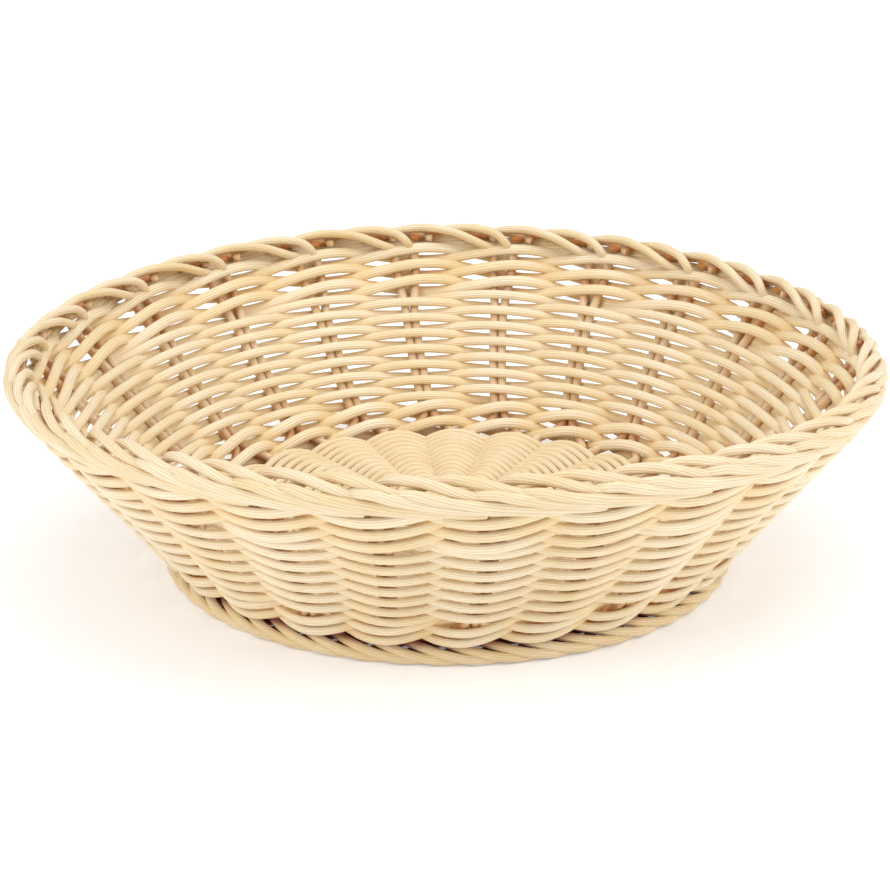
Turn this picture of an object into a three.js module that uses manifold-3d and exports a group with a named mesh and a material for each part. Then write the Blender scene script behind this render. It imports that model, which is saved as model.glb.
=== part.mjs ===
// Round bread basket woven from plastic cane, in millimetres, +Z up.
// The origin is the middle of the foot's resting face.
// Twelve base rods cross in the middle and fan out into twenty-four spokes.
// A pair of side stakes stands between each two spokes, and the wall is woven round the pairs:
// two rounds of pairing, two chased weavers, three rounds of pairing, then the border.

import * as THREE from 'three';
import { mergeVertices } from 'three/addons/utils/BufferGeometryUtils.js';
import Module from 'manifold-3d';

const wasm = await Module();
wasm.setup();

// ---- Driving dimensions ----
const height = 65; // foot to top of border
const rimRadius = 125; // middle to the border's outer edge
const footRadius = 82; // middle to the foot's outer edge
const footHeight = 5.6;
const footWidth = 7.5;
const footEdge = 2; // chamfer on the foot's outer edges
const cane = 2.7; // diameter of the plastic cane, and the pitch of the rows
const clearance = 0.3; // room between pieces that touch
const crossRods = 6; // base rods in each of the two crossing sets
const bottomRounds = 2; // rounds of pairing under the plain weave
const topRounds = 3; // rounds of pairing over it
const wallInset = 0.5; // foot's outer edge to the middle of the lowest round
const stakeSpreadFoot = 1.9; // half the spacing of a pair's two stakes, at the foot
const stakeSpreadRim = 3.0; // the same under the border
const pairLap = 0.05; // depth to which a pair's two stakes press into each other
const stepStakes = 4; // stakes over which a weaver climbs to its next row
const borderWidth = 9.5; // across the wall
const borderDepth = 6.5; // along the wall
const borderTilt = THREE.MathUtils.degToRad(40); // the border's lean from level
const borderInset = 2.3; // border's middle inside the wall's middle
const baseLevel = 9.3; // height of the base rods
const hubRadius = 22; // where the rods have fanned out into spokes
const squeeze = 0.35; // turns of plain weave that can be packed into the room that is left

// ---- Sizes that follow from them ----
const caneSide = cane - clearance;
const flatShare = 0.2; // share of the stake spacing that a strand lies flat against a pair
const stakePairs = 4 * crossRods; // each rod of both sets ends in two spokes
const stakeStep = (2 * Math.PI) / stakePairs;
const firstStake = ((crossRods - 1) / 2) % 1; // stake steps from +X to the first spoke
const spokeTurn = stakeStep / 2; // a spoke lies between two pairs and lends a stake to each
const borderHalf = { across: borderWidth / 2, along: borderDepth / 2 };

// The border's section is an ellipse turned by borderTilt, so its reach along R and Z is this.
const borderReachR = Math.hypot(
  borderHalf.across * Math.cos(borderTilt),
  borderHalf.along * Math.sin(borderTilt),
);
const borderReachZ = Math.hypot(
  borderHalf.across * Math.sin(borderTilt),
  borderHalf.along * Math.cos(borderTilt),
);
const borderMiddle = new THREE.Vector2(rimRadius - borderReachR, height - borderReachZ);

// The wall is straight in section, from the lowest round to a point beside the border's middle.
// The lowest round clears the foot by its farthest corner, whatever the wall's lean.
const roundReach = Math.hypot(cane + caneSide / 2, cane / 2 + caneSide / 2);
const wallFoot = new THREE.Vector2(
  footRadius - wallInset,
  footHeight + roundReach + clearance / 2,
);
const wallHead = new THREE.Vector2(
  borderMiddle.x + borderInset * Math.cos(borderTilt),
  borderMiddle.y - borderInset * Math.sin(borderTilt),
);
const wallLine = wallHead.clone().sub(wallFoot);
const lean = Math.atan2(wallLine.x, wallLine.y);
const along = new THREE.Vector2(Math.sin(lean), Math.cos(lean));
const outward = new THREE.Vector2(Math.cos(lean), -Math.sin(lean));

// Distance along the wall at which the border's underside begins.
const tiltError = lean - borderTilt;
const borderUnder = Math.hypot(
  borderHalf.along * Math.cos(tiltError),
  borderHalf.across * Math.sin(tiltError),
);
const wallEnd = borderMiddle.clone().sub(wallFoot).dot(along) - borderUnder - clearance;
const topLevel = wallEnd - cane;
const plainStart = (2 * bottomRounds - 0.5) * cane;
const plainEnd = topLevel - (2 * topRounds - 0.5) * cane;
const plainRows = (plainEnd - plainStart) / cane + 1;
const plainTurns = Math.max(1, Math.floor(plainRows / 2 + squeeze));
const rowPitch = (plainEnd - plainStart) / (2 * plainTurns - 1);
const baseRadius = wallFoot.x - 2 * cane + clearance / 2;

const caneColours = { stake: '#ecd7a8', weaver: '#f3e3bd', pairing: '#f0deb4', base: '#efdcb2' };

const basket = new THREE.Group();
basket.name = 'bread_basket';

// ---- Helpers ----

// A route through given points that carries its own section directions. The section's x lies
// along the given face direction of each point, so a square cane never twists.
class CaneRoute extends THREE.Curve {
  constructor(points, faces) {
    super();
    this.points = points;
    this.faces = faces;
  }

  getUtoTmapping(u) {
    return u;
  }

  getPoint(t, target = new THREE.Vector3()) {
    const place = t * (this.points.length - 1);
    const i = Math.min(Math.floor(place), this.points.length - 2);
    return target.lerpVectors(this.points[i], this.points[i + 1], place - i);
  }

  computeFrenetFrames(steps) {
    const tangents = [];
    const normals = [];
    const binormals = [];
    for (let i = 0; i <= steps; i += 1) {
      const tangent = this.getTangent(i / steps);
      const normal = this.faces[i].clone().projectOnPlane(tangent).normalize();
      tangents.push(tangent);
      normals.push(normal);
      binormals.push(new THREE.Vector3().crossVectors(tangent, normal));
    }
    return { tangents, normals, binormals };
  }
}

// A length of cane with a square section, through the points.
function caneAlong(points, faces) {
  const half = caneSide / 2;
  const section = new THREE.Shape([
    new THREE.Vector2(-half, -half),
    new THREE.Vector2(half, -half),
    new THREE.Vector2(half, half),
    new THREE.Vector2(-half, half),
  ]);
  const extrudePath = new CaneRoute(points, faces);
  return new THREE.ExtrudeGeometry(section, { steps: points.length - 1, extrudePath });
}

// A point on the wall: the stake count round from +X, the distance up the wall, the distance
// out of its middle surface, and a sideways shift.
function wallPoint(stake, up, out, sideways = 0) {
  const angle = stake * stakeStep;
  const r = wallFoot.x + up * along.x + out * outward.x;
  const z = wallFoot.y + up * along.y + out * outward.y;
  return new THREE.Vector3(
    r * Math.cos(angle) - sideways * Math.sin(angle),
    r * Math.sin(angle) + sideways * Math.cos(angle),
    z,
  );
}

// The direction straight out of the wall at a stake count.
function wallFace(stake) {
  const angle = stake * stakeStep;
  return new THREE.Vector3(
    outward.x * Math.cos(angle),
    outward.x * Math.sin(angle),
    outward.y,
  );
}

function addPiece(name, geometry, color, roughness = 0.5) {
  const material = new THREE.MeshStandardMaterial({ color, roughness, metalness: 0 });
  const mesh = new THREE.Mesh(geometry, material);
  mesh.name = name;
  basket.add(mesh);
}

function toSolid(geometry) {
  const bare = geometry.clone();
  bare.deleteAttribute('normal');
  bare.deleteAttribute('uv');
  const merged = mergeVertices(bare);
  const vertProperties = new Float32Array(merged.attributes.position.array);
  const triVerts = new Uint32Array(merged.index.array);
  return new wasm.Manifold(new wasm.Mesh({ numProp: 3, vertProperties, triVerts }));
}

function toGeometry(solid) {
  const mesh = solid.getMesh();
  const geometry = new THREE.BufferGeometry();
  geometry.setAttribute('position', new THREE.BufferAttribute(mesh.vertProperties, 3));
  geometry.setIndex(new THREE.BufferAttribute(mesh.triVerts, 1));
  return geometry;
}

// A ring turned from an outline of (radius, height) points, listed anticlockwise.
function turnedRing(outline, segments) {
  const geometry = new THREE.LatheGeometry([...outline, outline[0]], segments);
  return geometry.rotateX(Math.PI / 2);
}

const numbered = (name, i) => `${name}_${String(i + 1).padStart(2, '0')}`;

// ---- Base ----

// One rod: straight through the crossing, fanning out to a spoke at each end.
function baseRod(index, turned) {
  const offset = (index - (crossRods - 1) / 2) * cane;
  const fan = (index - (crossRods - 1) / 2) * stakeStep;
  const level = baseLevel + (turned ? cane : -cane) / 2;
  const crossing = (crossRods / 2 + 0.5) * cane;
  const half = [
    new THREE.Vector3(baseRadius * Math.cos(fan), baseRadius * Math.sin(fan), baseLevel),
    new THREE.Vector3(hubRadius * Math.cos(fan), hubRadius * Math.sin(fan), baseLevel),
    new THREE.Vector3(crossing, offset, level),
  ];
  const mirrored = half.map((p) => new THREE.Vector3(-p.x, p.y, p.z)).reverse();
  const points = [...half, ...mirrored];
  const upright = new THREE.Vector3(0, 0, 1);
  const turn = spokeTurn + (turned ? Math.PI / 2 : 0);
  points.forEach((p) => p.applyAxisAngle(upright, turn));
  return caneAlong(points, points.map(() => upright));
}

// The woven disc round the spokes, with a channel for each of them.
function baseWeave() {
  const inner = hubRadius + cane;
  const half = cane / 2 + caneSide / 2;
  const disc = turnedRing([
    new THREE.Vector2(inner, baseLevel - half),
    new THREE.Vector2(baseRadius, baseLevel - half),
    new THREE.Vector2(baseRadius, baseLevel + half),
    new THREE.Vector2(inner, baseLevel + half),
  ], 2 * stakePairs);
  let solid = toSolid(disc);
  const channelSide = caneSide + 2 * clearance;
  const length = baseRadius - hubRadius + cane;
  for (let i = 0; i < stakePairs; i += 1) {
    const channel = new THREE.BoxGeometry(length, channelSide, channelSide);
    channel.translate(hubRadius + length / 2, 0, baseLevel);
    channel.rotateZ((i + firstStake) * stakeStep + spokeTurn);
    solid = solid.subtract(toSolid(channel));
  }
  return toGeometry(solid);
}

// ---- Wall ----

// Two stakes side by side that touch up the middle of the wall and part at both ends.
function stakePair(index) {
  const stake = index + firstStake;
  const touching = caneSide / 2 - pairLap;
  const spreads = [
    [-cane, stakeSpreadFoot],
    [plainStart + 2 * cane, touching],
    [plainEnd - 4 * cane, touching],
    [wallEnd, stakeSpreadRim],
  ];
  const [left, right] = [-1, 1].map((side) => {
    const points = spreads.map(([up, spread]) => wallPoint(stake, up, 0, side * spread));
    return toSolid(caneAlong(points, points.map(() => wallFace(stake))));
  });
  return toGeometry(left.add(right));
}

// One strand of a pairing round. It lies outside every other pair of stakes and inside the
// rest, and crosses its twin between them, over it on the way in and under it on the way out.
// Its two ends meet in the middle of a pair.
function pairingStrand(level, firstSide) {
  const radius = wallFoot.x + level * along.x;
  const endGap = clearance / 2 / (radius * stakeStep);
  const places = [];
  for (let i = 0; i < stakePairs; i += 1) {
    const side = i % 2 ? -firstSide : firstSide;
    const before = [i - flatShare, side, -side];
    const after = [i + flatShare, side, side];
    places.push(before, after);
  }
  places.shift();
  places.unshift([endGap, firstSide, 0]);
  places.push([stakePairs - flatShare, firstSide, -firstSide]);
  places.push([stakePairs - endGap, firstSide, 0]);
  const points = places.map(([i, side, rise]) => (
    wallPoint(i + firstStake, level + (rise * cane) / 2, side * cane)));
  return caneAlong(points, places.map(([i]) => wallFace(i + firstStake)));
}

// Height, in rows, that a chased weaver has climbed after passing some stakes: level for most
// of each turn, then up two rows over its last stakes.
function rowsClimbed(stakesPassed) {
  const turn = Math.floor(stakesPassed / stakePairs);
  const intoStep = stakesPassed - turn * stakePairs - (stakePairs - stepStakes);
  const share = THREE.MathUtils.smoothstep(intoStep / stepStakes, 0, 1);
  return 2 * (turn + share);
}

// One of the two weavers that chase each other up the wall, outside one pair and inside the
// next. The second starts a row higher and on the other side.
function sideWeaver(firstSide, firstRow) {
  const stakesPassed = plainTurns * stakePairs - stepStakes;
  const points = [];
  const faces = [];
  for (let i = 0; i <= stakesPassed; i += 1) {
    const side = i % 2 ? -firstSide : firstSide;
    for (const shift of [-flatShare, flatShare]) {
      const climbed = rowsClimbed(Math.max(i + shift, 0));
      const up = plainStart + (firstRow + climbed) * rowPitch;
      points.push(wallPoint(i + shift + firstStake, up, side * cane));
      faces.push(wallFace(i + shift + firstStake));
    }
  }
  return caneAlong(points, faces);
}

// ---- Borders ----

// The rolled border over the stakes' ends: a flat oval that leans as the wall does.
function rimBorder() {
  const corners = 10;
  const outline = [];
  for (let i = 0; i < corners; i += 1) {
    const turn = (2 * Math.PI * i) / corners;
    const across = borderHalf.across * Math.cos(turn);
    const up = borderHalf.along * Math.sin(turn);
    outline.push(new THREE.Vector2(
      borderMiddle.x + across * Math.cos(borderTilt) + up * Math.sin(borderTilt),
      borderMiddle.y - across * Math.sin(borderTilt) + up * Math.cos(borderTilt),
    ));
  }
  return turnedRing(outline, 3 * stakePairs);
}

// The plaited foot under the lowest round, flat where the basket stands on it.
function footBorder() {
  const outer = footRadius;
  const inner = footRadius - footWidth;
  return turnedRing([
    new THREE.Vector2(inner, 0),
    new THREE.Vector2(outer - footEdge, 0),
    new THREE.Vector2(outer, footEdge),
    new THREE.Vector2(outer, footHeight - footEdge),
    new THREE.Vector2(outer - footEdge, footHeight),
    new THREE.Vector2(inner, footHeight),
  ], 3 * stakePairs);
}

// ---- Assembly ----

for (let i = 0; i < crossRods; i += 1) {
  addPiece(numbered('base_rod_lower', i), baseRod(i, false), caneColours.base);
  addPiece(numbered('base_rod_upper', i), baseRod(i, true), caneColours.base);
}
addPiece('base_weave', baseWeave(), caneColours.base);
addPiece('foot_border', footBorder(), caneColours.pairing);

for (let i = 0; i < stakePairs; i += 1) {
  addPiece(numbered('stake_pair', i), stakePair(i), caneColours.stake);
}

for (let i = 0; i < bottomRounds; i += 1) {
  const level = 2 * i * cane;
  addPiece(numbered('bottom_round_first', i), pairingStrand(level, 1), caneColours.pairing);
  addPiece(numbered('bottom_round_second', i), pairingStrand(level, -1), caneColours.pairing);
}

addPiece('side_weaver_first', sideWeaver(-1, 0), caneColours.weaver);
addPiece('side_weaver_second', sideWeaver(1, 1), caneColours.weaver);

for (let i = 0; i < topRounds; i += 1) {
  const level = topLevel - 2 * (topRounds - 1 - i) * cane;
  addPiece(numbered('top_round_first', i), pairingStrand(level, 1), caneColours.pairing);
  addPiece(numbered('top_round_second', i), pairingStrand(level, -1), caneColours.pairing);
}

addPiece('rim_border', rimBorder(), caneColours.stake);

export default basket;
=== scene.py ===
"""Round bread basket woven from plastic cane.

Every strand is a cane of its own, round or pressed oval, carried along its own route: the base
rods and the pairing round them, the pairs of side stakes, the two chased weavers, the rounds of pairing, and
the rolled borders at the rim and the foot. Routes are in millimetres, +Z up, and become metres
when a piece is made. Angles count anticlockwise from +X, seen from above.
"""
import math

import bpy
import numpy as np
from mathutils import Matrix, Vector


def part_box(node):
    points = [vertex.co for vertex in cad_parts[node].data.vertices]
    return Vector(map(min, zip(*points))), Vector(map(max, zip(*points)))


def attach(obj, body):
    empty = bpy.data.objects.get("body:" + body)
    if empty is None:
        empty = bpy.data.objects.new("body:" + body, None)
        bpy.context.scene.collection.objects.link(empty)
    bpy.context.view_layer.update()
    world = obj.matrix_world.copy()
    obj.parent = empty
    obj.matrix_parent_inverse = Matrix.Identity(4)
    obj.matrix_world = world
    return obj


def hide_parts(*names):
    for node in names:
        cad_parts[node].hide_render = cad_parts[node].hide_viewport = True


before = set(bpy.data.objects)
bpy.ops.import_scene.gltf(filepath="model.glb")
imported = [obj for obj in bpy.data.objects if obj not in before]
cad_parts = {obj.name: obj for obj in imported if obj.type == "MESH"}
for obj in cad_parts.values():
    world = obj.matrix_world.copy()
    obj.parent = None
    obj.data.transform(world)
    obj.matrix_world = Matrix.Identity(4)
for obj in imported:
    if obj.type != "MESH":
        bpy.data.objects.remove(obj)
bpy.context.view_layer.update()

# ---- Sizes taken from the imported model, in millimetres ----
MM = 0.001


def node_box(name):
    """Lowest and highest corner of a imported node, in millimetres."""
    low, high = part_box(name)
    return np.array(low) / MM, np.array(high) / MM


def node_count(start):
    """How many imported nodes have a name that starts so."""
    return sum(name.startswith(start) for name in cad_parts)


RIM_LOW, RIM_HIGH = node_box("rim_border")
FOOT_LOW, FOOT_HIGH = node_box("foot_border")
PAIRS = node_count("stake_pair")
BOTTOM_ROUNDS = node_count("bottom_round_first")
TOP_ROUNDS = node_count("top_round_first")
RODS = node_count("base_rod_lower")
LOW_ROUND = node_box("bottom_round_first_01")
HIGH_ROUND = node_box(f"top_round_first_{TOP_ROUNDS:02d}")
BASE_LEVEL = sum(corner[2] for corner in node_box("base_weave")) / 2

RIM_RADIUS = RIM_HIGH[0]
HEIGHT = RIM_HIGH[2]
FOOT_RADIUS = FOOT_HIGH[0]
STEP = 2 * math.pi / PAIRS

# ---- The maker's own sizes, in millimetres ----
CANE = 2.7
WEAVER_CANE = (2.0, 3.0)  # weavers are pressed flat against the stakes: thickness and width
PAIRING_CANE = (2.1, 3.5)  # the pairing strands, a little wider
R = CANE / 2
WALL_INSET = 0.5  # foot's outer edge to the middle of the lowest round
FIRST_PAIR = 0.5  # pair steps from +X to the first pair

# The wall is a straight line in section, from the lowest round to the highest.
WALL_RISE = sum(HIGH_ROUND)[2] / 2 - sum(LOW_ROUND)[2] / 2
WALL_SPREAD = HIGH_ROUND[1][0] - LOW_ROUND[1][0]
LEAN = math.atan2(WALL_SPREAD, WALL_RISE)
WALL_LENGTH = math.hypot(WALL_SPREAD, WALL_RISE)
WALL_FOOT = (FOOT_RADIUS - WALL_INSET, sum(LOW_ROUND)[2] / 2)
ROUND_PITCH = 5.5  # from one round of pairing to the next
LOW_LEVEL = -0.6  # the lowest and highest rounds, from the ends of the wall
TOP_LEVEL = WALL_LENGTH + 0.9
# The plain weave fills the wall between the rounds, a fixed gap from each.
PLAIN_START = LOW_LEVEL + (BOTTOM_ROUNDS - 0.25) * ROUND_PITCH
PLAIN_END = TOP_LEVEL - (TOP_ROUNDS - 0.3) * ROUND_PITCH
PLAIN_TURNS = 7  # turns that each of the two weavers makes
ROW_PITCH = (PLAIN_END - PLAIN_START) / (2 * PLAIN_TURNS - 1)
CLIMB_STAKES = 4  # pairs over which a weaver climbs to its next row

# The rolled rim: a leaning oval on which the middles of its strands lie.
RIM_MIDDLE = (RIM_RADIUS - 4.0, HEIGHT - 4.4)
RIM_TURN = -0.087  # pair steps that the stakes have turned by the time they reach the rim

rng = np.random.default_rng(24)


# ---- Routes ----
def smooth(x):
    """The smooth step 3x^2 - 2x^3, held at 0 and 1 outside its range."""
    x = np.clip(x, 0, 1)
    return x * x * (3 - 2 * x)


def pair_turn(up):
    """How far round a pair has turned at a height up the wall: the stakes lean a little, most
    near the foot. turn = -1.3 deg - 2.8 deg (1 - up / length)^3."""
    left = np.clip(1 - up / WALL_LENGTH, 0, 1)
    return np.radians(-1.3 - 2.8 * left**3)


def polar(radius, angle, z):
    """Points (radius cos angle, radius sin angle, z)."""
    radius, angle, z = np.broadcast_arrays(radius, angle, z)
    return np.stack([radius * np.cos(angle), radius * np.sin(angle), z], axis=-1)


def wall_point(pair, up, out=0.0, aside=0.0):
    """Points of the wall: r = r0 + up sin(lean) + out cos(lean), z = z0 + up cos(lean) -
    out sin(lean), at the pair's own angle, moved aside along the tangent."""
    up, out = np.asarray(up, float), np.asarray(out, float)
    r = WALL_FOOT[0] + up * math.sin(LEAN) + out * math.cos(LEAN)
    z = WALL_FOOT[1] + up * math.cos(LEAN) - out * math.sin(LEAN)
    angle = (np.asarray(pair) + FIRST_PAIR) * STEP + pair_turn(up) + np.asarray(aside) / r
    return polar(r, angle, z)


def rim_point(pair, step, across, up):
    """Points of the rolled rim: so far across and up from the middle of its section, at so many
    steps from a pair."""
    return polar(RIM_MIDDLE[0] + across, (pair + FIRST_PAIR + step) * STEP, RIM_MIDDLE[1] + up)


def spline(keys, spacing=1.5):
    """A smooth route through key points: cubic Hermite spans whose slopes are the mean of
    their neighbours' chords, sampled every spacing millimetres."""
    keys = np.asarray(keys, float)
    chord = np.linalg.norm(np.diff(keys, axis=0), axis=1)
    at = np.concatenate([[0], np.cumsum(chord)])
    slope = np.gradient(keys, at, axis=0)
    t = np.linspace(0, at[-1], max(8, int(at[-1] / spacing)))
    i = np.clip(np.searchsorted(at, t, side="right") - 1, 0, len(chord) - 1)
    u = ((t - at[i]) / chord[i])[:, None]
    h = chord[i][:, None]
    return (
        (2 * u**3 - 3 * u**2 + 1) * keys[i]
        + (u**3 - 2 * u**2 + u) * h * slope[i]
        + (3 * u**2 - 2 * u**3) * keys[i + 1]
        + (u**3 - u**2) * h * slope[i + 1]
    )


# ---- Meshes ----
SIDES = 14


def tube(route, radius=R, sides=SIDES, face=(0.0, 0.0, 1.0), width=1.0):
    """A closed cane along a route, round or pressed oval. Ring i, side j is at
    p_i + radius_i (cos a_j n_i + width sin a_j b_i), where n_i is the face direction made square
    to the route and b_i is square to both. Both ends are rounded over by two smaller rings."""
    route = np.asarray(route, float)
    along = np.gradient(route, axis=0)
    along /= np.linalg.norm(along, axis=1, keepdims=True)
    face = np.broadcast_to(np.asarray(face, float), route.shape)
    normal = face - (face * along).sum(1, keepdims=True) * along
    normal /= np.linalg.norm(normal, axis=1, keepdims=True)
    length = np.concatenate([[0], np.cumsum(np.linalg.norm(np.diff(route, axis=0), axis=1))])
    middle = np.concatenate([
        [route[0] - 0.35 * radius * along[0], route[0] - 0.25 * radius * along[0]],
        route,
        [route[-1] + 0.25 * radius * along[-1], route[-1] + 0.35 * radius * along[-1]],
    ])
    ends = np.array([0.72, 0.9])
    reach = radius * np.concatenate([ends, np.ones(len(route)), ends[::-1]])
    along = np.concatenate([along[:1], along[:1], along, along[-1:], along[-1:]])
    normal = np.concatenate([normal[:1], normal[:1], normal, normal[-1:], normal[-1:]])
    length = np.concatenate([[length[0]] * 2, length, [length[-1]] * 2])
    across = np.cross(along, normal)
    turn = 2 * np.pi * np.arange(sides) / sides
    ring = np.cos(turn)[None, :, None] * normal[:, None]
    ring = ring + width * np.sin(turn)[None, :, None] * across[:, None]
    points = middle[:, None] + reach[:, None, None] * ring
    return points, length


WARP_LEVEL = 60.0  # height at which the warp has the sizes below
WARP_FRONT = 3.3  # rise of the front, and drop of the back
WARP_RIGHT = 0.3  # rise of the right, and drop of the left
WARP_SADDLE = 1.45  # rise of front and back alike, and drop of both sides
WARP_SHIFT = -0.7  # shift along X


def hand_made(points):
    """The basket's warp, as made by hand: with h = z / level, z rises by h^2 (front cos angle +
    right sin angle + saddle cos 2 angle), the angle counted from the front towards the right,
    and x moves by shift h."""
    x, y, z = points.T
    angle = np.arctan2(x, -y)
    rise = WARP_FRONT * np.cos(angle) + WARP_RIGHT * np.sin(angle)
    rise = rise + WARP_SADDLE * np.cos(2 * angle)
    return np.stack([x + WARP_SHIFT * z / WARP_LEVEL, y, z + (z / WARP_LEVEL) ** 2 * rise], -1)


# How deep in the weave a point lies; the canes' colour is darkened by it as painted shade.
def painted_shade_depth(points):
    """How deep in the weave each point lies, 0 to 1: the greatest of four smooth steps. The wall
    falls from 1 at its middle to 0 at 3.2 mm out of it, times 0.3 halfway up and 1 at both ends,
    and stops under the rim. The rim falls over 1.8 mm from its core, the foot rises over 3.5 mm
    inwards, and the base rises over 3 mm downwards, to 0.8."""
    x, y, z = points.T
    r = np.hypot(x, y)
    out = (r - WALL_FOOT[0]) * math.cos(LEAN) - (z - WALL_FOOT[1]) * math.sin(LEAN)
    up = (r - WALL_FOOT[0]) * math.sin(LEAN) + (z - WALL_FOOT[1]) * math.cos(LEAN)
    ends = np.maximum(smooth((16 - up) / 16), smooth((up - WALL_LENGTH + 16) / 12))
    below_rim = smooth((WALL_LENGTH + 2 - up) / 4)
    wall = (1 - smooth(np.abs(out) / 3.2)) * (0.3 + 0.7 * ends) * below_rim
    core = 1 - smooth((np.hypot(r - RIM_MIDDLE[0], z - RIM_MIDDLE[1]) - 0.6) / 1.8)
    inside_foot = smooth((FOOT_RADIUS - 2.2 - r) / 3.5) * smooth((9.5 - z) / 4)
    under = 0.8 * smooth((BASE_LEVEL + 1.6 - z) / 3.0) * smooth((WALL_FOOT[0] - 6 - r) / 4)
    return np.max([wall, core, inside_foot, under], axis=0)


def cane_piece(name, canes, material, nodes):
    """One object of several canes. Faces run ring to ring, four corners each, with a many-sided
    face over each end. UV u is millimetres along the cane and v is the share of the way round,
    and the attribute tint is each cane's own number between 0 and 1. A second attribute says
    how deep in the weave a point lies, which the material uses for painted shade."""
    points, corners, sizes, uvs, tints = [], [], [], [], []
    start = 0
    for rings, length in canes:
        n, sides = rings.shape[:2]
        i, j = np.meshgrid(np.arange(n - 1), np.arange(sides), indexing="ij")
        k = (j + 1) % sides
        quads = np.stack([i * sides + j, i * sides + k, (i + 1) * sides + k, (i + 1) * sides + j], -1)
        first, last = np.arange(sides)[::-1], (n - 1) * sides + np.arange(sides)
        shift = rng.uniform(0, 900)
        u = np.stack([length[i], length[i], length[i + 1], length[i + 1]], -1) + shift
        v = np.stack([j, j + 1, j + 1, j], -1) / sides
        ends = np.concatenate([
            np.stack([np.full(sides, length[0] + shift), first / sides], -1),
            np.stack([np.full(sides, length[-1] + shift), np.arange(sides) / sides], -1),
        ])
        points.append(rings.reshape(-1, 3))
        corners += [quads.ravel() + start, first + start, last + start]
        sizes += [np.full(quads.shape[0] * quads.shape[1], 4), [sides, sides]]
        uvs += [np.stack([u.ravel(), v.ravel()], -1), ends]
        tints.append(np.full(n * sides, rng.uniform()))
        start += n * sides
    points, corners = np.concatenate(points), np.concatenate(corners)
    # Painted shade: how deep in the weave each point lies, for darkening its colour there.
    shade_depth = painted_shade_depth(points)
    points = hand_made(points) * MM
    sizes, uvs = np.concatenate(sizes), np.concatenate(uvs)
    mesh = bpy.data.meshes.new(name)
    mesh.vertices.add(len(points))
    mesh.vertices.foreach_set("co", points.astype(np.float32).ravel())
    mesh.loops.add(len(corners))
    mesh.loops.foreach_set("vertex_index", corners.astype(np.int32))
    mesh.polygons.add(len(sizes))
    loop_start = np.concatenate([[0], np.cumsum(sizes)[:-1]]).astype(np.int32)
    mesh.polygons.foreach_set("loop_start", loop_start)
    mesh.update(calc_edges=True)
    mesh.uv_layers.new(name="cane").data.foreach_set("uv", uvs.astype(np.float32).ravel())
    mesh.attributes.new("tint", "FLOAT", "POINT").data.foreach_set(
        "value", np.concatenate(tints).astype(np.float32))
    mesh.attributes.new("painted_shade_depth", "FLOAT", "POINT").data.foreach_set(
        "value", shade_depth.astype(np.float32))
    mesh.polygons.foreach_set("use_smooth", np.ones(len(sizes), bool))
    mesh.materials.append(material)
    piece = bpy.data.objects.new(name, mesh)
    bpy.context.collection.objects.link(piece)
    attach(piece, "root")
    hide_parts(*nodes)
    return piece


# ---- Materials ----
def linear(hex_colour):
    """An sRGB hex colour as linear RGBA."""
    values = [int(hex_colour[i:i + 2], 16) / 255 for i in (1, 3, 5)]
    return [v / 12.92 if v <= 0.04045 else ((v + 0.055) / 1.055) ** 2.4 for v in values] + [1.0]


def add_node(tree, kind, settings=(), inputs=(), links=()):
    """Adds a node, sets its settings and input values, and links other sockets into it."""
    node = tree.nodes.new(kind)
    for key, value in dict(settings).items():
        setattr(node, key, value)
    for key, value in dict(inputs).items():
        node.inputs[key].default_value = value
    for key, socket in dict(links).items():
        tree.links.new(socket, node.inputs[key])
    return node


def ramp_node(tree, stops, value):
    """A colour ramp through (place, hex colour) stops."""
    node = add_node(tree, "ShaderNodeValToRGB", links={"Fac": value})
    ramp = node.color_ramp
    for i, (place, colour) in enumerate(stops):
        stop = ramp.elements[i] if i < 2 else ramp.elements.new(place)
        stop.position = place
        stop.color = linear(colour)
    return node


GROOVES = 11  # fine lines round a cane
GROOVE_DEPTH = 0.00012  # metres


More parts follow.
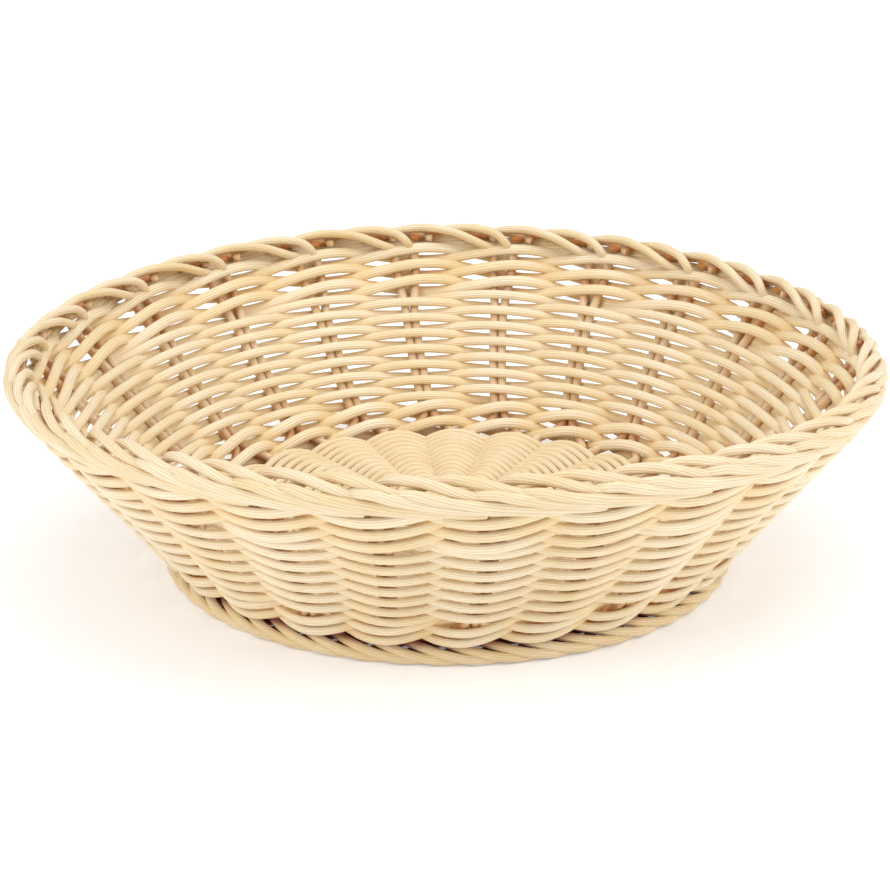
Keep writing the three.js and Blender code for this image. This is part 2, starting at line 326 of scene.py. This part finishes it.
def cane_material(name, pale, deep, stain, painted_shade_colour, gloss):
    """Extruded plastic cane. The eye gets a warm straw body that changes a little from strand to
    strand and in slow patches along each, fine drawn grooves along its length, a few darker
    streaks in the grooves, and a soft waxy shine broken up by them. Deep in the weave the body
    is mixed towards a darker amber, which is painted shade."""
    material = bpy.data.materials.new(name)
    material.use_nodes = True
    tree = material.node_tree
    tree.nodes.clear()
    uv = add_node(tree, "ShaderNodeUVMap", {"uv_map": "cane"})
    place = add_node(tree, "ShaderNodeTexCoord")
    tint = add_node(tree, "ShaderNodeAttribute", {"attribute_name": "tint"})
    parts = add_node(tree, "ShaderNodeSeparateXYZ", links={"Vector": uv.outputs["UV"]})
    # Wander of the grooves along the cane, then the grooves themselves as a wave round it.
    stretched = add_node(tree, "ShaderNodeVectorMath", {"operation": "MULTIPLY"},
                         {1: (0.05, 3.0, 1.0)}, {0: uv.outputs["UV"]})
    wander = add_node(tree, "ShaderNodeTexNoise", {"noise_dimensions": "2D"},
                      {"Scale": 1.0, "Detail": 2.0}, {"Vector": stretched.outputs["Vector"]})
    round_way = add_node(tree, "ShaderNodeMath", {"operation": "MULTIPLY_ADD"},
                         {1: 0.05, 2: 0.0}, {0: wander.outputs["Fac"], 2: parts.outputs["Y"]})
    turns = add_node(tree, "ShaderNodeMath", {"operation": "MULTIPLY"},
                     {1: 2 * math.pi * GROOVES}, {0: round_way.outputs["Value"]})
    wave = add_node(tree, "ShaderNodeMath", {"operation": "SINE"}, links={0: turns.outputs["Value"]})
    groove = add_node(tree, "ShaderNodeMapRange", {"interpolation_type": "SMOOTHSTEP"},
                      {"From Min": -1.0, "From Max": 0.1}, {"Value": wave.outputs["Value"]})
    # Streaks: long thin noise, much finer round the cane than along it.
    streaked = add_node(tree, "ShaderNodeVectorMath", {"operation": "MULTIPLY"},
                        {1: (0.12, 26.0, 1.0)}, {0: uv.outputs["UV"]})
    streak = add_node(tree, "ShaderNodeTexNoise", {"noise_dimensions": "2D"},
                      {"Scale": 1.0, "Detail": 3.0, "Roughness": 0.6},
                      {"Vector": streaked.outputs["Vector"]})
    patch = add_node(tree, "ShaderNodeTexNoise", (), {"Scale": 70.0, "Detail": 2.0},
                     {"Vector": place.outputs["Object"]})
    # Body colour: the strand's own tint with slow patches, then streaks, then groove lines.
    mixed = add_node(tree, "ShaderNodeMath", {"operation": "MULTIPLY_ADD"},
                     {1: 0.45}, {0: tint.outputs["Fac"], 2: patch.outputs["Fac"]})
    body = ramp_node(tree, [(0.3, deep), (0.95, pale)], mixed.outputs["Value"])
    streak_share = add_node(tree, "ShaderNodeMapRange", (),
                            {"From Min": 0.45, "From Max": 0.8, "To Max": 0.3},
                            {"Value": streak.outputs["Fac"]})
    streaky = add_node(tree, "ShaderNodeMix", {"data_type": "RGBA"}, {"B": linear(stain)},
                       {"Factor": streak_share.outputs["Result"], "A": body.outputs["Color"]})
    line_share = add_node(tree, "ShaderNodeMapRange", (), {"To Min": 0.36, "To Max": 0.0},
                          {"Value": groove.outputs["Result"]})
    coloured = add_node(tree, "ShaderNodeMix", {"data_type": "RGBA"}, {"B": linear(stain)},
                        {"Factor": line_share.outputs["Result"], "A": streaky.outputs["Result"]})
    # Painted shade: deep in the weave the colour is mixed to a darker amber, standing in for the shade there
    # and the light that has come through other canes.
    shade_depth = add_node(tree, "ShaderNodeAttribute", {"attribute_name": "painted_shade_depth"})
    painted_shade_mix = add_node(tree, "ShaderNodeMix", {"data_type": "RGBA"}, {"B": linear(painted_shade_colour)},
                     {"Factor": shade_depth.outputs["Fac"], "A": coloured.outputs["Result"]})
    rough = add_node(tree, "ShaderNodeMapRange", (), {"To Min": gloss + 0.1, "To Max": gloss - 0.06},
                     {"Value": streak.outputs["Fac"]})
    height = add_node(tree, "ShaderNodeMath", {"operation": "MULTIPLY_ADD"}, {1: 0.25},
                      {0: streak.outputs["Fac"], 2: groove.outputs["Result"]})
    bump = add_node(tree, "ShaderNodeBump", (), {"Strength": 0.7, "Distance": GROOVE_DEPTH},
                    {"Height": height.outputs["Value"]})
    shader = add_node(tree, "ShaderNodeBsdfPrincipled", (),
                      {"IOR": 1.49, "Metallic": 0.0, "Subsurface Weight": 0.12,
                       "Subsurface Radius": (1.0, 0.6, 0.3), "Subsurface Scale": 0.0012,
                       "Coat Weight": 0.08, "Coat Roughness": 0.25},
                      {"Base Color": painted_shade_mix.outputs["Result"], "Roughness": rough.outputs["Result"],
                       "Normal": bump.outputs["Normal"]})
    add_node(tree, "ShaderNodeOutputMaterial", links={"Surface": shader.outputs["BSDF"]})
    return material


# ---- Base ----
SPOKE_TURN = STEP / 2 - math.radians(2.3)  # how far the crossing is turned from +X
HUB_RADIUS = 24.0  # where the rods have fanned out into spokes
BASE_FIRST = 24.25  # radius at which the spiral of pairing begins
BASE_PITCH = 3.45  # outwards in one turn of the spiral
BASE_ROUNDS = 13.9  # turns of the spiral
HUB_LEVELS = (12.4, 15.2, 18.0)  # sizes of the squares that bind the crossing
HUB_RISE = 3.9  # how far the binding passes over and under the rods
SWAY = 0.55  # how far a base strand swings out and in as it passes between spokes
BULGE = 0.5  # how much farther out it lies at a spoke


def rod_route(index, turned):
    """A base rod: straight through the crossing, then fanned out to a spoke at each end."""
    place = index - (RODS - 1) / 2
    fan = place * STEP
    level = BASE_LEVEL + (R if turned else -R) * 0.95
    crossing = (RODS / 2 + 0.7) * CANE
    end = WALL_FOOT[0] - 4.5
    radii = np.array([end, 52.0, HUB_RADIUS + 4, HUB_RADIUS - 4])
    half = [(r * math.cos(fan), r * math.sin(fan), BASE_LEVEL) for r in radii]
    half += [(crossing, place * CANE, level), (crossing * 0.5, place * CANE, level)]
    keys = np.array(half + [(-x, y, z) for x, y, z in half[::-1]])
    turn = SPOKE_TURN + (math.pi / 2 if turned else 0)
    c, s = math.cos(turn), math.sin(turn)
    keys[:, :2] = keys[:, :2] @ np.array([[c, s], [-s, c]])
    return spline(keys, 2.0)


def base_strand(side):
    """One of the two strands of pairing that spiral out over the base. With s counting spokes
    and c = cos(pi s), height = side (cane + 0.05) sign(c) |c|^0.8, and radius = first + pitch
    s / spokes + side sway sin(pi s) + bulge |c|."""
    spokes = np.arange(0, BASE_ROUNDS * PAIRS, 1 / 9)
    swing = np.cos(np.pi * spokes)
    radius = BASE_FIRST + BASE_PITCH * spokes / PAIRS + side * SWAY * np.sin(np.pi * spokes)
    radius = radius + BULGE * np.abs(swing)
    rise = side * (CANE + 0.05) * np.sign(swing) * np.abs(swing) ** 0.8
    angle = (spokes + 0.5) * STEP + SPOKE_TURN
    return polar(radius, angle, BASE_LEVEL + rise)


def hub_strand(side, level):
    """One of a pair of strands that bind the crossing, over one arm of rods and under the next:
    height = side h cos(2 angle), on the rounded square r = level (cos^6 + sin^6)^(-1/6), scaled
    so that its corners are at 1.15 level."""
    angle = np.linspace(0, 2 * np.pi, 97)[:-1]
    angle = np.append(angle, 2 * np.pi - 0.06)
    square = (np.cos(angle) ** 6 + np.sin(angle) ** 6) ** (-1 / 6)
    radius = level * square / square.max() * 1.15
    rise = side * HUB_RISE * np.cos(2 * angle)
    return polar(radius, angle + SPOKE_TURN + (0.05 if side > 0 else 0), BASE_LEVEL + rise)


def make_base(material):
    """The base rods, the spiral of pairing, and the strands that bind the crossing."""
    for turned, kind in ((False, "lower"), (True, "upper")):
        for i in range(RODS):
            name = f"base_rod_{kind}_{i + 1:02d}"
            cane_piece(f"rod_{kind}_{i + 1:02d}", [tube(rod_route(i, turned))],
                       material, [name])
    for side, kind in ((1, "first"), (-1, "second")):
        canes = [tube(base_strand(side), sides=12)]
        canes += [tube(hub_strand(side, level)) for level in HUB_LEVELS]
        cane_piece(f"base_pairing_{kind}", canes, material, ["base_weave"])


# ---- Wall ----
def pair_spread(up):
    """Half the distance between a pair's two canes: they touch up the middle of the wall, and
    part towards the foot and the rim."""
    low = 0.55 * smooth((PLAIN_START - up) / PLAIN_START)
    high = 1.65 * smooth((up - PLAIN_END + 2 * CANE) / (4 * TOP_ROUNDS * R))
    return R + low + high


SPOKE_ASIDE = 0.36  # pair steps from a pair to where its stakes lie beside the spokes
STAKE_TURN = math.radians(3.5)  # how far round the stakes have leaned by then


def stake_route(pair, side):
    """One stake from beside its spoke, through the foot of the wall and up to the rim."""
    keys = []
    spoke = (pair + FIRST_PAIR + side * SPOKE_ASIDE) * STEP - STAKE_TURN
    for radius, level in ((54.0, 0.0), (64.0, 0.0), (73.0, -0.2), (78.5, -0.4)):
        keys.append(polar(radius, spoke, BASE_LEVEL + level))
    for up in np.linspace(3.0, WALL_LENGTH + 3.0, 9):
        bow = 0.12 * math.sin(1.7 * pair + 0.11 * up)
        keys.append(wall_point(pair, up, bow, side * pair_spread(up)))
    return spline(keys, 1.8)


def pairing_route(level, side):
    """One strand of a pairing round. With s counting pairs and c = cos(pi s), out = side a
    sign(c) |c|^0.85 and height = level + side (R sin(pi s) - 0.8 c), so the strand on the outside
    lies a little lower. The last tenth of a pair runs on over the first, so the round closes."""
    pairs = np.arange(PAIRS * 10 + 2) / 10 - 0.5
    swing, twist = np.cos(np.pi * pairs), np.sin(np.pi * pairs)
    out = side * (R + PAIRING_CANE[0] / 2) * np.sign(swing) * np.abs(swing) ** 0.85
    up = level + side * (R * twist - 0.8 * swing)
    return wall_point(pairs, up, out)


def rows_climbed(pairs):
    """Rows that a weaver has climbed after passing so many pairs: level, then two rows up over
    the last pairs of each turn."""
    turn = np.floor(pairs / PAIRS)
    into = pairs - turn * PAIRS - (PAIRS - CLIMB_STAKES)
    return np.clip(2 * (turn + smooth(into / CLIMB_STAKES)), 0, 2 * (PLAIN_TURNS - 1))


def weaver_route(side, first_row):
    """A chased weaver. With s counting pairs and c = cos(pi s), out = side a sign(c) |c|^0.9,
    and it climbs two rows over the last pairs of each turn. Each end runs on level into the
    wedge that the climb leaves open."""
    lap = CLIMB_STAKES / 2 + 0.5
    pairs = np.arange(-lap, PLAIN_TURNS * PAIRS - CLIMB_STAKES + lap, 1 / 10)
    up = PLAIN_START + (first_row + rows_climbed(pairs)) * ROW_PITCH
    swing = np.cos(np.pi * pairs)
    out = side * (R + WEAVER_CANE[0] / 2) * np.sign(swing) * np.abs(swing) ** 0.9
    return wall_point(pairs, up, out)


def outward(route):
    """The direction straight out of the wall at each point of a route."""
    angle = np.arctan2(route[:, 1], route[:, 0])
    return np.stack([np.cos(angle) * math.cos(LEAN), np.sin(angle) * math.cos(LEAN),
                     np.full(len(angle), -math.sin(LEAN))], -1)


def wall_tube(route, thickness=CANE, width=CANE):
    """A cane of the wall, its flatter sides facing in and out of the wall."""
    return tube(route, thickness / 2, face=outward(route), width=width / thickness)


def make_wall(stake, weaver):
    """Pairs of stakes, rounds of pairing at the foot and under the rim, and the weavers."""
    for i in range(PAIRS):
        canes = [wall_tube(stake_route(i, side)) for side in (-1, 1)]
        cane_piece(f"stakes_{i + 1:02d}", canes, stake, [f"stake_pair_{i + 1:02d}"])
    for where, rounds, level in (
        ("bottom", BOTTOM_ROUNDS, LOW_LEVEL),
        ("top", TOP_ROUNDS, TOP_LEVEL - (TOP_ROUNDS - 1) * ROUND_PITCH),
    ):
        for i in range(rounds):
            for side, kind in ((1, "first"), (-1, "second")):
                strand = wall_tube(pairing_route(level + i * ROUND_PITCH, side), *PAIRING_CANE)
                cane_piece(f"{where}_pairing_{kind}_{i + 1:02d}", [strand], weaver,
                           [f"{where}_round_{kind}_{i + 1:02d}"])
    for side, row, kind in ((-1, 0, "first"), (1, 1, "second")):
        strand = wall_tube(weaver_route(side, row), *WEAVER_CANE)
        cane_piece(f"weaver_{kind}", [strand], weaver, [f"side_weaver_{kind}"])


# ---- Rolled borders ----
SECOND_LATE = 0.44  # pair steps by which a pair's second stake arches over later


def rim_keys(pair, side):
    """Key points of one stake's end as it is rolled down: up the inside of the rim, over the top
    towards the next pair, and in under the outer strands. The pair's second stake goes further
    along the inside first, so the two arch over one after the other."""
    late = SECOND_LATE if side > 0 else 0.0
    keys = []
    for up in (WALL_LENGTH - 6, WALL_LENGTH - 1.5):
        keys.append(wall_point(pair, up, -0.1, side * pair_spread(up)))
    path = [(-0.06 + 0.35 * late, -2.3, -3.3), (-0.04 + 0.55 * late, -3.1, -1.6),
            (0.0 + 0.75 * late, -3.3, 0.3), (0.07 + 0.9 * late, -2.7, 2.1), (0.19 + late, -1.5, 3.1),
            (0.34 + late, 0.0, 3.3), (0.50 + late, 1.2, 2.7), (0.64 + late, 1.8, 1.6),
            (0.78 + late, 1.6, 0.4), (0.92 + late, 0.8, -0.6)]
    for step, across, up in path:
        keys.append(rim_point(pair, step + RIM_TURN, across, up))
    return keys


OUTER_START = 0.15  # pair steps from a pair to the middle of its two outer strands
OUTER_APART = 0.18  # half the steps between them


def rim_outer_keys(pair, side):
    """Key points of a rim strand on the outside: a rounded turn beside the arches, a long slant
    down the outside, and in above the highest round."""
    path = [(-0.24, -0.6, -0.2), (-0.15, 0.7, 0.3), (-0.07, 2.0, 0.7), (0.02, 2.9, 0.9),
            (0.14, 3.2, 0.2), (0.30, 3.2, -0.7), (0.50, 2.9, -1.6), (0.74, 2.6, -2.3),
            (1.00, 2.1, -2.9), (1.24, 1.5, -3.4), (1.44, 0.7, -4.0), (1.58, -0.4, -4.4)]
    start = OUTER_START + OUTER_APART * side + RIM_TURN
    keys = []
    for step, across, up in path:
        keys.append(rim_point(pair, step + start, across, up))
    return keys


def rim_face(route):
    """Directions out from the middle line of the rim, for the strands' seams."""
    angle = np.arctan2(route[:, 1], route[:, 0])
    middle = polar(RIM_MIDDLE[0], angle, RIM_MIDDLE[1])
    away = route - middle
    away += 1e-3 * np.stack([np.cos(angle), np.sin(angle), np.ones(len(angle))], -1)
    return away / np.linalg.norm(away, axis=1, keepdims=True)


def make_rim(material):
    """The rolled rim, two strands for each stake."""
    for kind, keys_of in (("inner", rim_keys), ("outer", rim_outer_keys)):
        canes = []
        for i in range(PAIRS):
            for side in (-1, 1):
                route = spline(keys_of(i, side), 1.3)
                canes.append(tube(route, face=rim_face(route)))
        cane_piece(f"rim_{kind}_strands", canes, material, ["rim_border"])


FOOT_TURN = math.radians(4.9)  # how far round the foot's strands start behind the pairs
FOOT_ROUNDS = ((6.4, 6.9), (8.6, 4.3))  # inset and height of the two plain rounds
FOOT_ROUND_POINTS = 391


def foot_route(index):
    """One strand of the foot: out from under the lowest round, down the outside and in under
    the base."""
    here = (index / 2 + FIRST_PAIR) * STEP - FOOT_TURN
    path = [(-0.85, 13.0, 6.6), (-0.50, 9.4, 6.8), (-0.28, 5.4, 6.2), (0.0, 2.9, 4.9),
            (0.3, 1.6, 3.4), (0.6, 1.6, 2.1), (0.9, 2.9, R + 0.1), (1.2, 5.4, R + 0.2),
            (1.45, 7.8, 2.4), (1.75, 10.4, 4.0), (2.05, 13.0, 5.4)]
    keys = [polar(FOOT_RADIUS - inset, here + step * STEP, z) for step, inset, z in path]
    return spline(keys, 1.5)


def make_foot(material):
    """The foot border, two strands for each pair of stakes, and the two plain rounds inside it
    that they lock behind."""
    canes = [tube(foot_route(i), sides=12) for i in range(2 * PAIRS)]
    turn = 2 * np.pi * np.arange(FOOT_ROUND_POINTS) / FOOT_ROUND_POINTS
    for inset, level in FOOT_ROUNDS:
        canes.append(tube(polar(FOOT_RADIUS - inset, turn, level), sides=12))
    cane_piece("foot_strands", canes, material, ["foot_border"])


# ---- Stage ----
def plain_material(name, colour, roughness):
    """Plain matt surface."""
    material = bpy.data.materials.new(name)
    material.use_nodes = True
    shader = material.node_tree.nodes["Principled BSDF"]
    shader.inputs["Base Color"].default_value = linear(colour)
    shader.inputs["Roughness"].default_value = roughness
    return material


def make_stage():
    """A plain white floor that gives off a little cool light, as a light table does."""
    bpy.ops.mesh.primitive_plane_add(size=8)
    floor = bpy.context.object
    floor.name = "floor"
    white = plain_material("matt_white_floor", "#F8F8F8", 0.9)
    glow = white.node_tree.nodes["Principled BSDF"].inputs
    glow["Emission Color"].default_value = linear("#EAF1FF")
    glow["Emission Strength"].default_value = 0.22
    floor.data.materials.append(white)


def soft_light(name, place, size, power, colour="#FFFFFF"):
    """A square softbox aimed at the basket's middle."""
    light = bpy.data.lights.new(name, "AREA")
    light.shape = "SQUARE"
    light.size = size
    light.energy = power
    light.color = linear(colour)[:3]
    lamp = bpy.data.objects.new(name, light)
    bpy.context.collection.objects.link(lamp)
    lamp.location = place
    aim = Vector((0, 0, 0.03)) - Vector(place)
    lamp.rotation_euler = aim.to_track_quat("-Z", "Y").to_euler()


def make_lights():
    """High-key studio light: white all round, a broad softbox overhead, and one from the front
    at each side."""
    world = bpy.data.worlds.new("white_studio")
    world.use_nodes = True
    background = world.node_tree.nodes["Background"]
    background.inputs["Color"].default_value = linear("#FFFFFF")
    background.inputs["Strength"].default_value = 0.59
    bpy.context.scene.world = world
    soft_light("overhead_softbox", (0.1, 0.15, 1.3), 1.2, 7.4)
    soft_light("left_softbox", (-1.15, -0.8, 0.9), 0.8, 8.4)
    soft_light("right_softbox", (1.2, -0.4, 0.8), 0.7, 6.6)


CAMERA_DISTANCE = 1.132  # metres, to the middle of the basket


def make_camera():
    """The camera in front of the basket, a little above it."""
    data = bpy.data.cameras.new("camera")
    data.lens = 159.5
    data.sensor_width = 36
    data.clip_start = 0.01
    camera = bpy.data.objects.new("camera", data)
    bpy.context.collection.objects.link(camera)
    elevation = math.radians(20.5)
    target = Vector((-0.0009, 0.0, 0.0342))
    away = Vector((0.0, -math.cos(elevation), math.sin(elevation)))
    camera.location = target + CAMERA_DISTANCE * away
    camera.rotation_euler = (-away).to_track_quat("-Z", "Y").to_euler()
    bpy.context.scene.camera = camera
    bpy.context.scene.view_settings.view_transform = "Standard"


# The last colour of each material is painted shade: the darker amber mixed in deep in the weave.
STAKE = cane_material("straw_cane_stakes_satin", "#F8E8C8", "#EED7A6", "#D0A05C", "#C88140", 0.38)
WEAVER = cane_material("straw_cane_weavers_satin", "#F8EACC", "#F0DAAA", "#D6A964", "#EDCE98", 0.38)
BASE = cane_material("straw_cane_base_satin", "#F4E2BC", "#EAD19E", "#C8954F", "#8A3518", 0.40)

make_base(BASE)
make_wall(STAKE, WEAVER)
make_rim(STAKE)
make_foot(BASE)
make_stage()
make_lights()
make_camera()
